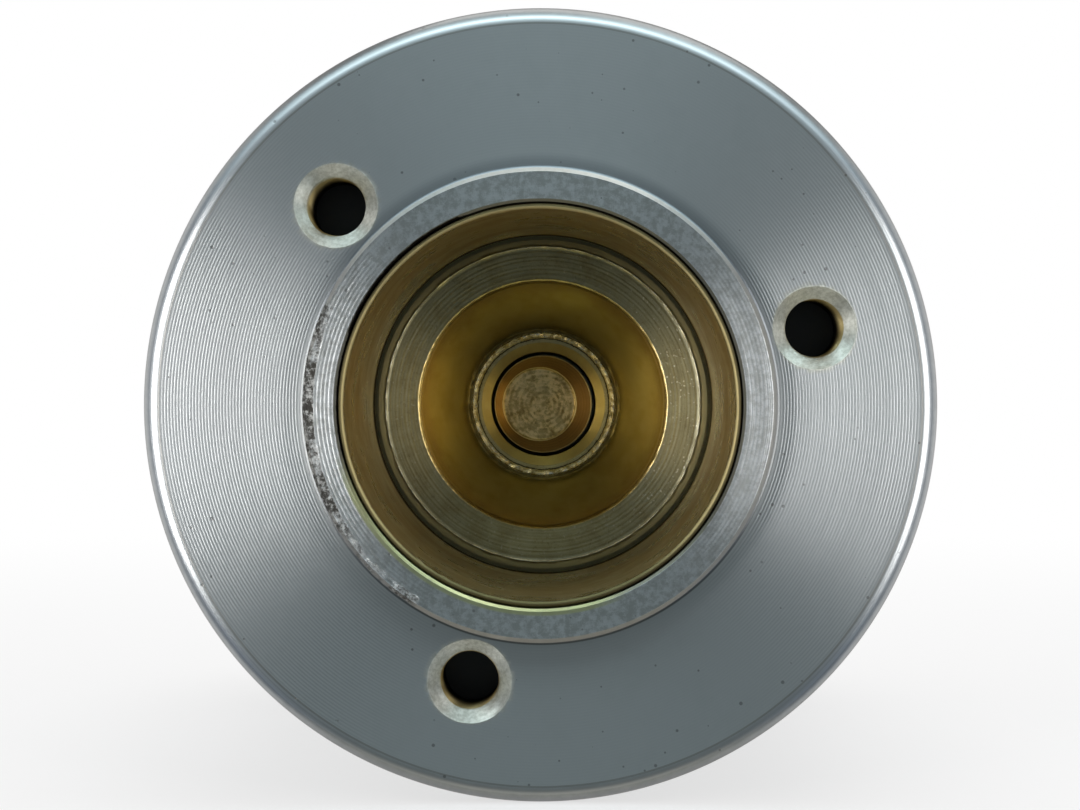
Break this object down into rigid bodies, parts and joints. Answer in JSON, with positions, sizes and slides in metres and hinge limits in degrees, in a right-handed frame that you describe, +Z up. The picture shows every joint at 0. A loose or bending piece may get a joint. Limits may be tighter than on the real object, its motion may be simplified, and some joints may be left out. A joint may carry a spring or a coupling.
{
  "type": "starter solenoid",
  "caption": "Cylindrical starter solenoid body: turned steel can with a locating collar and screw holes, brass-lined bore, cone-faced core, contact rod and moulded terminal cap.",
  "frame": {"origin": "centre of the mounting face, on the axis of the plunger's bore", "axes": "-Y out of the bore's mouth along the solenoid's axis, +Y towards the terminals, +Z up"},
  "size_m": [0.058, 0.1018, 0.058],
  "materials": {
    "turned_steel": "turned bright steel with fine concentric grooves",
    "sleeve_brass": "drawn brass, tarnished, with bright wear",
    "core_steel": "turned steel with a yellow passivated film",
    "rod_steel": "turned steel, browned at the chamfer",
    "plain_steel": "plain machined steel",
    "spring_steel": "oiled spring wire",
    "black_moulding": "glass-filled black moulding",
    "brown_moulding": "brown phenolic moulding",
    "winding_wire": "enamelled copper wire",
    "bare_copper": "bare copper, lightly tarnished",
    "coil_paper": "kraft insulating paper",
    "black_rubber": "matt moulded rubber",
    "plated_steel": "zinc plated",
    "stud_copper": "copper-plated stud",
    "tinned_brass": "tinned brass",
    "solder": "dull soft solder"
  },
  "bodies": {
    "root": {"housing_can": "turned_steel", "plunger_sleeve": "sleeve_brass", "stationary_core": "core_steel", "coil_bobbin": "black_moulding", "hold_in_winding": "winding_wire", "winding_separator": "coil_paper", "pull_in_winding": "winding_wire", "coil_wrap": "coil_paper", "core_plate": "plain_steel", "return_spring": "spring_steel", "cap_gasket": "black_rubber", "terminal_cap": "black_moulding", "battery_stud": "stud_copper", "motor_stud": "stud_copper", "stud_seals": "black_rubber", "stud_washers": "plated_steel", "clamp_nuts": "plated_steel", "spring_washers": "plated_steel", "cable_nuts": "plated_steel", "switch_terminal": "tinned_brass", "switch_rivet": "tinned_brass", "motor_strap": "bare_copper", "switch_lead": "winding_wire", "pull_in_lead": "winding_wire", "ground_lead": "winding_wire", "solder_joints": "solder"},
    "rod": {"contact_rod": "rod_steel", "rod_clip": "spring_steel", "spring_washer_seat": "plated_steel", "bridge_spring": "spring_steel"},
    "bridge": {"contact_bridge": "bare_copper", "front_insulator": "brown_moulding", "rear_insulator": "brown_moulding"}
  },
  "joints": [
    {"name": "rod_slide", "type": "slide", "parent": "root", "child": "rod", "axis": [0, 1, 0], "range_m": [0, 0.0042], "stiffness_N_per_m": 1500, "springref_m": -0.004, "deforming": ["return_spring"]},
    {"name": "bridge_slide", "type": "slide", "parent": "rod", "child": "bridge", "axis": [0, 1, 0], "range_m": [-0.0012, 0], "stiffness_N_per_m": 4000, "springref_m": 0.002, "deforming": ["bridge_spring"]}
  ],
  "couplings": [
    {"joint": "bridge_slide", "follows": "rod_slide", "ratio": -0.28571}
  ]
}
